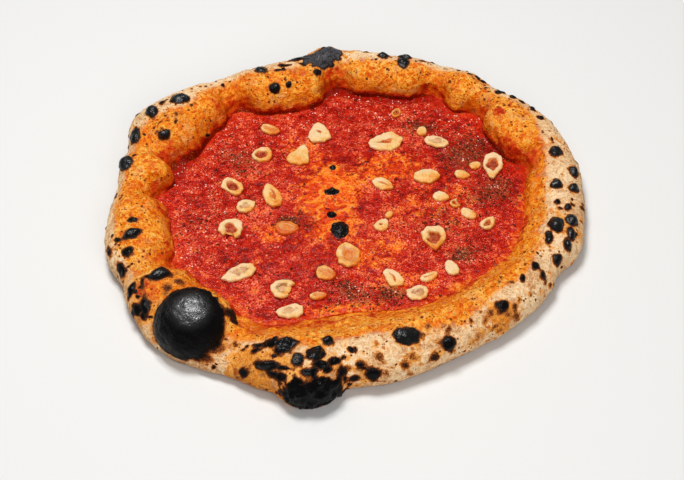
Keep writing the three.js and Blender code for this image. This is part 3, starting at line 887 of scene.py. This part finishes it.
def fire_fields(crust, bubble, burns):
    points, _, over = crust
    near, inside, shine = bubble
    char, heat, gloss = burns
    off_cap = 1 - cap_share(bubble)
    cap = near * np.clip(0.5 + (inside + 6 * fractal(points, 6.0, 3, 5)) / 12, 0, 1)
    height = points[..., 2] / MM
    halo = 0.66 * near * ease(-26, 0, inside) * (0.4 + 0.6 * ease(6, 16, height))
    return {
        "char": np.maximum(char * off_cap, cap),
        "toast_and_shade": np.max([heat, halo, 0.25 * (1 - near)], axis=0),
        "glaze": np.maximum(shine, BLISTER_GLOSS * gloss * off_cap),
        # Grey on the back burn: partly ash and partly painted sheen
        "ash_and_sheen": 1 - ease(0.9, 1.3, spot_distance(points, crust, BACK_BURN)),
        # Low on the outer flank: partly browning and partly painted shade near the floor
        "foot": (1 - ease(1, 11, height)) * (1 - ease(60, 110, over)),
    }


def oil_fields(crust, degrees):
    points, _, over = crust
    crease = crease_depth(degrees, 6)
    wall = profile(WALL_STAIN_AND_SHADE, degrees)
    soaked = profile(SOAKED, degrees) * ease(105, 170, over)
    # Sauce stain at the foot of the inner wall, its darkest part painted shade
    foot = 1.3 * wall * ease(150, 178, over)
    in_creases = 0.6 * wall * crease * ease(85, 140, over)
    return {
        "oil": ease(-17, 17, over - profile(OIL_EDGE, degrees)),
        "soaked": soaked + 0.4 * crease * ease(60, 110, over),
        "stain_and_shade": np.max([foot, in_creases, patch_field(points, crust, SMEARS)], axis=0),
        "speckle": 1 - 0.7 * wall * ease(115, 155, over),
    }


def with_base(points):
    """The rim's points and faces, with rings of the base on both ends and both middles."""
    below = [points[:, :1] * (ring, ring, 1) for ring in reversed(BASE_RINGS)]
    above = [points[:, -1:] * (ring, ring, 1) for ring in BASE_RINGS]
    columns = np.concatenate(below + [points] + above, axis=1)
    middles = np.array([(0, 0, 0), (0, 0, points[:, -1, 2].mean())])
    index = np.arange(columns.size // 3).reshape(COLUMNS, -1)
    faces = quads(np.append(index, index[:1], axis=0))
    faces += fan(index.size, index[:, 0]) + fan(index.size + 1, index[::-1, -1])
    return np.concatenate([columns.reshape(-1, 3), middles]), faces


def make_crust():
    points, over = rim_grid()
    points, bubble = great_bubble(points)
    crust = points, grid_normals(points), over
    degrees = np.broadcast_to(np.degrees(column_angles())[:, None], over.shape)
    rise, *burns = burn(crust)
    fields = fire_fields(crust, bubble, burns) | oil_fields(crust, degrees)
    points, faces = with_base(raised(crust, degrees, bubble, fields["char"], rise))
    piece = new_piece("crust", points, faces, CrustPaint().painted())
    on_base = len(BASE_RINGS)
    for name, values in fields.items():
        set_field(piece, name, np.append(np.pad(values, ((0, 0), (on_base, on_base))), (0, 0)))
    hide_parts("dough")


# The sauce

SAUCE_CELLS = 300
SAUCE_OVERLAP = 2.6 * MM
SAUCE_EDGE_LEVEL = 1.8 * MM
SAUCE_EDGE_DROP = 0.4 * MM
SAUCE_MARGIN = (0.92, 0.99)
# How far the even level lies below the sauce's highest point, and how deep a dip may be
SAUCE_LEVEL = 0.9 * MM
SAUCE_DIP = 1.5 * MM
GARLIC_SINK = 0.7 * MM
ABOVE = 0.1
# The part of the sauce, from its middle, where the base may break through, and the heights in mm at
# which it starts to, is black, and stands free
BUBBLE_REACH = 0.85
BUBBLE_HEIGHTS = (4.7, 6.4, 7.0)


def disc_grid(count):
    """A square grid bent into a unit disc: its radius and angle at each point."""
    line = np.linspace(-1, 1, count)
    across, along = np.meshgrid(line, line, indexing="ij")
    x = across * np.sqrt(1 - along ** 2 / 2)
    y = along * np.sqrt(1 - across ** 2 / 2)
    return np.hypot(x, y), np.arctan2(y, x)


def sauce_edge(tree, angles):
    table = column_angles()
    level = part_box("sauce")[0][2] + SAUCE_EDGE_LEVEL
    radii = blur_around(outer_radius(tree, table, level), 3)
    return np.interp(np.degrees(angles), np.degrees(table), radii, period=360)


def heights(tree, flat, missing, upward=False):
    """Height of a tree's surface over places, seen from above or from below."""
    direction = Vector((0, 0, 1 if upward else -1))
    start = Vector((0, 0, -ABOVE if upward else ABOVE))
    found = np.full(flat.shape[:-1], missing)
    for index in np.ndindex(found.shape):
        hit = tree.ray_cast(Vector(flat[index]) + start, direction)
        if hit[0] is not None:
            found[index] = hit[0].z
    return found


def thinness(x, y):
    """How thin and oily the sauce is at places in mm, from 0 to 1."""
    thin = np.zeros_like(x)
    for place_x, place_y, half_x, half_y, strength in THIN_SAUCE:
        apart = np.hypot((x - place_x) / half_x, (y - place_y) / half_y)
        thin = np.maximum(thin, strength * (1 - ease(0.4, 1.3, apart)))
    return thin


def herb_cover(flat):
    moved = warped(flat, *HERB_DRIFT) / MM
    cover = np.zeros(flat.shape[:-1])
    for x, y, spread, count in OREGANO_HEAPS:
        apart = np.hypot(moved[..., 0] - x, moved[..., 1] - y) / spread
        cover = np.maximum(cover, min(1, 0.5 * count / spread ** 2) * np.exp(-apart ** 2))
    return cover


def sauce_fields(flat, share, angles):
    wall = profile(WALL_STAIN_AND_SHADE, np.degrees(angles))
    herbs = herb_cover(flat)
    thin = thinness(flat[..., 0] / MM, flat[..., 1] / MM)
    return {
        "thin": np.maximum(thin, 1.1 * (1 - wall) * ease(0.91, 0.99, share)),
        "herbs": herbs,
        "shade": ease(0.75, 1.0, wall) * ease(0.88, 0.98, share),
        # Where glints are painted: by the back wall and in the herbs
        "wet_and_glints": np.maximum(herbs, ease(0.5, 0.8, wall) * ease(0.60, 0.85, share)),
        "margin": ease(*SAUCE_MARGIN, share),
    }


def sauce_top(tree, flat):
    """Height of the even sauce, with a low mound under each slice of garlic."""
    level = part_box("sauce")[1][2] - SAUCE_LEVEL
    top = heights(tree, flat, level)
    top = blur_grid(np.where(top < level - SAUCE_DIP, level, top), 3)
    seat = heights(node_tree(*GARLIC), flat, np.nan, upward=True)
    lift = np.where(np.isnan(seat), 0.0, seat + GARLIC_SINK - top)
    return top + np.maximum(blur_grid(lift, 1.6), 0.75 * lift)


def sauce_surface():
    """Points of the sauce's top, where burnt bubbles of the base break through, and its fields."""
    tree = node_tree("sauce")
    share, angles = disc_grid(SAUCE_CELLS)
    radius = share * (sauce_edge(tree, angles) + SAUCE_OVERLAP)
    flat = np.stack([radius * np.cos(angles), radius * np.sin(angles), np.zeros_like(radius)], axis=-1)
    fields = sauce_fields(flat, share, angles)
    grains = 0.4 * fractal(flat, 8, 2, 11) + 0.22 * fractal(flat, 2.6, 2, 12)
    top = sauce_top(tree, flat) + (grains + 0.7 * fields["thin"]) * MM
    top -= SAUCE_EDGE_DROP * ease(0.97, 1.0, share)

    base = blur_grid(heights(node_tree("dough"), flat, 0.0), 0.8)
    base = np.where(share < BUBBLE_REACH, base, 0.0)
    risen = ease(0.3 * MM, 1.5 * MM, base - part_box("sauce")[0][2])
    bubble = base / MM + risen * (1.8 * fractal(flat, 4.0, 3, 14) + fractal(flat, 11, 2, 26))
    start, black, free = BUBBLE_HEIGHTS
    fields["char"] = ease(start, black, bubble)
    lumps = (0.7 + 1.2 * fractal(flat, 2.6, 2, 17)) * MM
    top += (np.maximum(base - top, 0) + lumps) * ease(start, free, bubble)
    return flat + top[..., None] * (0, 0, 1), fields


def closed_sheet(points, bottom):
    """A grid's points and faces, closed by a skirt down to a flat bottom."""
    index = np.arange(points.size // 3).reshape(points.shape[:2])
    edge = np.concatenate([index[:-1, 0], index[-1, :-1], index[:0:-1, -1], index[0, :0:-1]])
    rim = points.reshape(-1, 3)[edge] * (1, 1, 0) + (0, 0, bottom)
    lower = index.size + np.arange(len(edge))
    skirt = np.stack([lower, edge], axis=1)
    faces = quads(index) + quads(np.append(skirt, skirt[:1], axis=0))
    faces += fan(index.size + len(edge), lower)
    return np.concatenate([points.reshape(-1, 3), rim, [(0, 0, bottom)]]), faces


def make_sauce():
    points, fields = sauce_surface()
    everything, faces = closed_sheet(points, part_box("sauce")[0][2])
    piece = new_piece("sauce_top", everything, faces, SaucePaint().painted())
    rest = np.zeros(len(everything) - points.size // 3)
    for name, values in fields.items():
        set_field(piece, name, np.concatenate([values.ravel(), rest]))
    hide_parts("sauce")
    return piece


# The garlic

# Kinds of slices, by their hollow: its depth in mm, half length and half width as shares of the
# slice's, and how dark it is painted, as sauce seen through and painted shade, and how sharply outlined, both
# from 0 to 1
HOLLOWS = {
    "plain": (0.0, 0.30, 0.30, 0.00, 0.0),
    "dot": (0.5, 0.16, 0.20, 0.80, 0.5),
    "slit": (0.9, 0.55, 0.14, 0.70, 0.2),
    "recess": (0.6, 0.50, 0.40, 0.22, 0.7),
    "amber": (0.5, 0.66, 0.55, 0.45, 0.2),
    "ring": (1.3, 0.58, 0.50, 0.90, 0.2),
}
# Each slice in the order of the nodes: its kind, and how brown it is baked, from 0 to 1
GARLIC_LOOKS = [
    ("amber", 0.50), ("dot", 0.05), ("ring", 0.35), ("plain", 0.35), ("ring", 0.30),
    ("slit", 0.45), ("recess", 0.25), ("ring", 0.15), ("recess", 0.10), ("recess", 0.20),
    ("recess", 0.10), ("amber", 0.60), ("amber", 0.60), ("amber", 0.90), ("amber", 0.50),
    ("slit", 0.15), ("plain", 0.30), ("recess", 0.10), ("ring", 0.55), ("plain", 0.35),
    ("slit", 0.25), ("plain", 0.40), ("ring", 0.10), ("plain", 0.35), ("plain", 0.25),
    ("ring", 0.45), ("plain", 0.30), ("ring", 0.25), ("dot", 0.25), ("ring", 0.40),
    ("plain", 0.10), ("slit", 0.15), ("slit", 0.25), ("recess", 0.12), ("plain", 0.45),
]
GARLIC_VOXEL = 0.42 * MM
GARLIC_SMOOTHING = 2
# The thin flesh in a ring-shaped slice: half length and width as shares of the slice's, half height
GARLIC_CORE = (0.7, 0.7, 0.4 * MM)
CORE_HEIGHT = 0.8 * MM
# The side that is painted browner as shade, and how far it may turn from there
GARLIC_SHADED_SIDE = math.radians(-50)
GARLIC_TURN = 0.7


def mesh_points(mesh):
    points = np.empty(len(mesh.vertices) * 3)
    mesh.vertices.foreach_get("co", points)
    return points.reshape(-1, 3)


def slice_axes(points):
    """A slice's middle in plan, and its length and width, which give 1 at the slice's ends."""
    plan = points[:, :2]
    middle = (plan.min(axis=0) + plan.max(axis=0)) / 2
    _, directions = np.linalg.eigh(np.cov((plan - middle).T))
    length, width = directions[:, 1], directions[:, 0]
    halves = [np.abs((plan - middle) @ direction).max() for direction in (length, width)]
    return middle, length / halves[0], width / halves[1]


def add_core(mesh):
    """Adds the thin flesh that closes the middle of a ring-shaped slice."""
    points = mesh_points(mesh)
    middle, length, width = slice_axes(points)
    matrix = Matrix.Identity(4)
    for column, axis in enumerate((length, width)):
        matrix.col[column][:2] = axis / (axis @ axis) * GARLIC_CORE[column]
    matrix[2][2] = GARLIC_CORE[2]
    matrix.translation = (*middle, points[:, 2].min() + CORE_HEIGHT)
    core = bmesh.new()
    core.from_mesh(mesh)
    bmesh.ops.create_uvsphere(core, u_segments=16, v_segments=8, radius=1.0, matrix=matrix)
    core.to_mesh(mesh)
    core.free()


def remeshed(node, name):
    """A copy of a CAD node with its middle closed and a fine, rounded mesh."""
    piece = linked(name, node.data.copy())
    add_core(piece.data)
    remesh = piece.modifiers.new("remesh", "REMESH")
    remesh.mode = "VOXEL"
    remesh.voxel_size = GARLIC_VOXEL
    smooth = piece.modifiers.new("smooth", "SMOOTH")
    smooth.factor = 0.5
    smooth.iterations = GARLIC_SMOOTHING
    depsgraph = bpy.context.evaluated_depsgraph_get()
    mesh = bpy.data.meshes.new_from_object(piece.evaluated_get(depsgraph))
    piece.modifiers.clear()
    piece.data = mesh
    mesh.name = name
    return piece


def slice_form(points, looks, draw):
    """A slice's points, hollowed and made uneven, and its fields."""
    kind, brown = looks
    depth, half_length, half_width, dark, outline = HOLLOWS[kind]
    middle, length, width = slice_axes(points)
    along, across = (points[:, :2] - middle) @ length, (points[:, :2] - middle) @ width
    low, high = points[:, 2].min(), points[:, 2].max()
    upper = ease(0.25, 0.55, (points[:, 2] - low) / (high - low))

    plan = points * (1, 1, 0)
    core = np.hypot(along / half_length, (across + 0.25 * fractal(plan, 5, 2, 18)) / half_width)
    hollow = 1 - ease(0.7, 1.1, core)
    points[:, 2] += (0.6 * fractal(points, 7, 1, 15) - depth * hollow * upper) * MM
    points[:, :2] += (points[:, :2] - middle) * 0.16 * fractal(plan, 7, 2, 16)[:, None]

    # Painted shade: one side of the slice, and its lower sides, are browner
    shade_way = GARLIC_SHADED_SIDE + draw.uniform(-GARLIC_TURN, GARLIC_TURN)
    shaded_side = (points[:, :2] - middle) @ (math.cos(shade_way), math.sin(shade_way)) * np.linalg.norm(length)
    outer = ease(0.6, 0.9, np.hypot(along, across))
    return points, {
        # Baked brown, plus painted shade on the lower sides and on the shaded side
        "toast_and_shade": np.clip(brown + 0.3 * shaded_side + 0.3 * (1 - upper), 0, 1),
        "pit": dark * hollow,
        "outline": outline * upper * np.exp(-((core - 1.0) / 0.25) ** 2),
        "sunk": outer * (1 - ease(low + 0.3 * MM, low + 1.1 * MM, points[:, 2])),
    }


def make_slice(name, looks, material, draw):
    piece = remeshed(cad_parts[name], name.replace("garlic", "slice"))
    points, fields = slice_form(mesh_points(piece.data), looks, draw)
    piece.data.vertices.foreach_set("co", points.ravel())
    piece.data.shade_smooth()
    piece.data.materials.clear()
    piece.data.materials.append(material)
    for field, values in fields.items():
        set_field(piece, field, values)
    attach(piece, "root")
    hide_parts(name)


def make_garlic():
    material = garlic_material()
    draw = np.random.default_rng(SEED + 1)
    for name, looks in zip(GARLIC, GARLIC_LOOKS):
        make_slice(name, looks, material, draw)


# Bits that lie on the sauce

# Flakes of oregano: length in mm, how rare long ones are, width by length, thickness, tilt in radians
FLAKE_LENGTH = (0.8, 3.8)
FLAKE_RARITY = 3
FLAKE_WIDTH = (0.3, 0.6)
FLAKE_THICKNESS = 0.16 * MM
FLAKE_TILT = 0.35
# Grains of pulp: how many are tried, length in mm, width and height by length
GRAINS = 13000
GRAIN_LENGTH = (0.9, 2.1)
GRAIN_WIDTH = (0.5, 0.9)
GRAIN_HEIGHT = 0.35
# A bit lies a little above the sauce, and not where crust or garlic reaches nearly as high
BIT_LIFT = 0.1 * MM
BIT_MARGIN = 0.3 * MM
SAUCE_REACH = 125
BIT_CORNERS = np.array([(1, 0, 0), (0.1, 1, 0), (-1, 0.1, 0), (-0.2, -1, 0), (0, 0, 1), (0.1, 0, -1)])
BIT_FACES = np.array([
    (0, 1, 4), (1, 2, 4), (2, 3, 4), (3, 0, 4), (1, 0, 5), (2, 1, 5), (3, 2, 5), (0, 3, 5)])


def everywhere(draw, count):
    reach = SAUCE_REACH * np.sqrt(draw.random(count))
    turn = 2 * np.pi * draw.random(count)
    return np.stack([reach * np.cos(turn), reach * np.sin(turn)], axis=1)


def on_plane(places):
    """Places in mm as points in metres."""
    return np.concatenate([places, np.zeros((len(places), 1))], axis=1) * MM


def flake_places(draw):
    heaps = [draw.normal((x, y), spread * 0.7, (count, 2)) for x, y, spread, count in OREGANO_HEAPS]
    heaps = np.concatenate(heaps)
    flat = on_plane(heaps)
    drift = (warped(flat, *HERB_DRIFT) - flat)[:, :2] / MM
    return np.concatenate([heaps - drift, everywhere(draw, OREGANO_EVERYWHERE)])


def grain_places(draw):
    places = everywhere(draw, GRAINS)
    edge = sauce_edge(node_tree("sauce"), np.arctan2(places[:, 1], places[:, 0])) / MM
    margin = ease(*SAUCE_MARGIN, np.hypot(*places.T) / edge)
    bare = 0.4 + 0.9 * fractal(on_plane(places), 16, 2, 21) + thinness(*places.T) + margin
    return places[draw.random(GRAINS) > bare]


def flake_shape(draw):
    length = np.interp(draw.random() ** FLAKE_RARITY, (0, 1), FLAKE_LENGTH) * MM / 2
    sizes = (length, length * draw.uniform(*FLAKE_WIDTH), FLAKE_THICKNESS)
    corners = BIT_CORNERS * sizes * draw.uniform(0.8, 1.2, (6, 1))
    over = Matrix.Rotation(draw.normal(0, FLAKE_TILT), 3, "X")
    along = Matrix.Rotation(draw.normal(0, FLAKE_TILT), 3, "Y")
    turn = Matrix.Rotation(draw.uniform(0, 2 * math.pi), 3, "Z")
    return corners @ np.array(turn @ over @ along).T


def grain_shape(draw):
    length = draw.uniform(*GRAIN_LENGTH) * MM / 2
    sizes = (length, length * draw.uniform(*GRAIN_WIDTH), GRAIN_HEIGHT * length)
    turn = Matrix.Rotation(draw.uniform(0, 2 * math.pi), 3, "Z")
    return BIT_CORNERS * sizes @ np.array(turn).T


def make_bits(name, sauce, places, shape, material, draw):
    """One piece with a small bit at each place where the sauce lies open."""
    mesh = sauce.data
    ground = BVHTree.FromPolygons([v.co for v in mesh.vertices], [f.vertices for f in mesh.polygons])
    crust_and_garlic = node_tree("dough", *GARLIC)
    down = Vector((0, 0, -1))
    points, faces, tones = [], [], []
    for x, y in places * MM:
        above = Vector((x, y, ABOVE))
        seat = ground.ray_cast(above, down)[0]
        blocked = crust_and_garlic.ray_cast(above, down)[0]
        if seat is None or (blocked is not None and blocked.z > seat.z - BIT_MARGIN):
            continue
        faces.append(BIT_FACES + len(BIT_CORNERS) * len(points))
        points.append(shape(draw) + np.array(seat) + (0, 0, BIT_LIFT))
        tones.append(np.full(len(BIT_CORNERS), draw.random()))
    piece = new_piece(name, np.concatenate(points), np.concatenate(faces).tolist(), material)
    set_field(piece, "tone", np.concatenate(tones))


def make_oregano(sauce):
    draw = np.random.default_rng(SEED + 2)
    material = bit_material("dried_oregano", OREGANO, 0.7, 0.2)
    make_bits("oregano", sauce, flake_places(draw), flake_shape, material, draw)


def make_pulp(sauce):
    draw = np.random.default_rng(SEED + 3)
    material = bit_material("tomato_pulp", PULP, 0.2, 0.35)
    make_bits("pulp", sauce, grain_places(draw), grain_shape, material, draw)


# The stage

FLOOR_SIDE = 8.0
FLOOR_DROP = 0.05 * MM
FLOOR_COLOUR = (0.77, 0.765, 0.75, 1)
LIGHTS = [
    # place, width and height, power in watts, whether it shows in reflections
    ((-0.19, 0.24, 1.39), (0.5, 0.5), 17.0, True),
    ((0.3, -1.3, 1.0), (1.6, 1.0), 12.0, False),
]
AMBIENT = 0.18
AMBIENT_COLOUR = (1.0, 0.99, 0.97, 1)


def make_floor():
    half = FLOOR_SIDE / 2
    mesh = bpy.data.meshes.new("floor")
    corners = [(-half, -half, 0), (half, -half, 0), (half, half, 0), (-half, half, 0)]
    mesh.from_pydata(corners, [], [(0, 1, 2, 3)])
    floor = linked("floor", mesh)
    floor.location.z = -FLOOR_DROP
    mesh.materials.append(Paint("pale_floor").finish({"Base Color": FLOOR_COLOUR, "Roughness": 0.7}))


def make_lights():
    for index, (place, (width, height), power, glossy) in enumerate(LIGHTS):
        light = bpy.data.lights.new(f"softbox_{index + 1}", "AREA")
        light.shape = "RECTANGLE"
        light.size, light.size_y = width, height
        light.energy = power
        lamp = linked(light.name, light)
        lamp.location = place
        lamp.visible_glossy = glossy
        lamp.rotation_euler = (-Vector(place)).to_track_quat("-Z", "Y").to_euler()
    world = bpy.data.worlds.new("studio")
    world.use_nodes = True
    sky = world.node_tree.nodes["Background"]
    sky.inputs["Color"].default_value = AMBIENT_COLOUR
    sky.inputs["Strength"].default_value = AMBIENT
    bpy.context.scene.world = world
    bpy.context.scene.view_settings.view_transform = "Standard"


def make_camera():
    lean = Matrix.Rotation(math.radians(90 - CAMERA_ELEVATION), 4, "X")
    pose = lean @ Matrix.Rotation(-math.radians(CAMERA_ROLL), 4, "Z")
    pose.translation = CAMERA_TARGET + pose.col[2].to_3d() * CAMERA_DISTANCE
    camera = linked("camera", bpy.data.cameras.new("camera"))
    camera.data.lens = CAMERA_LENS
    camera.matrix_world = pose
    bpy.context.scene.camera = camera


make_camera()
make_crust()
sauce = make_sauce()
make_pulp(sauce)
make_oregano(sauce)
make_garlic()
make_floor()
make_lights()
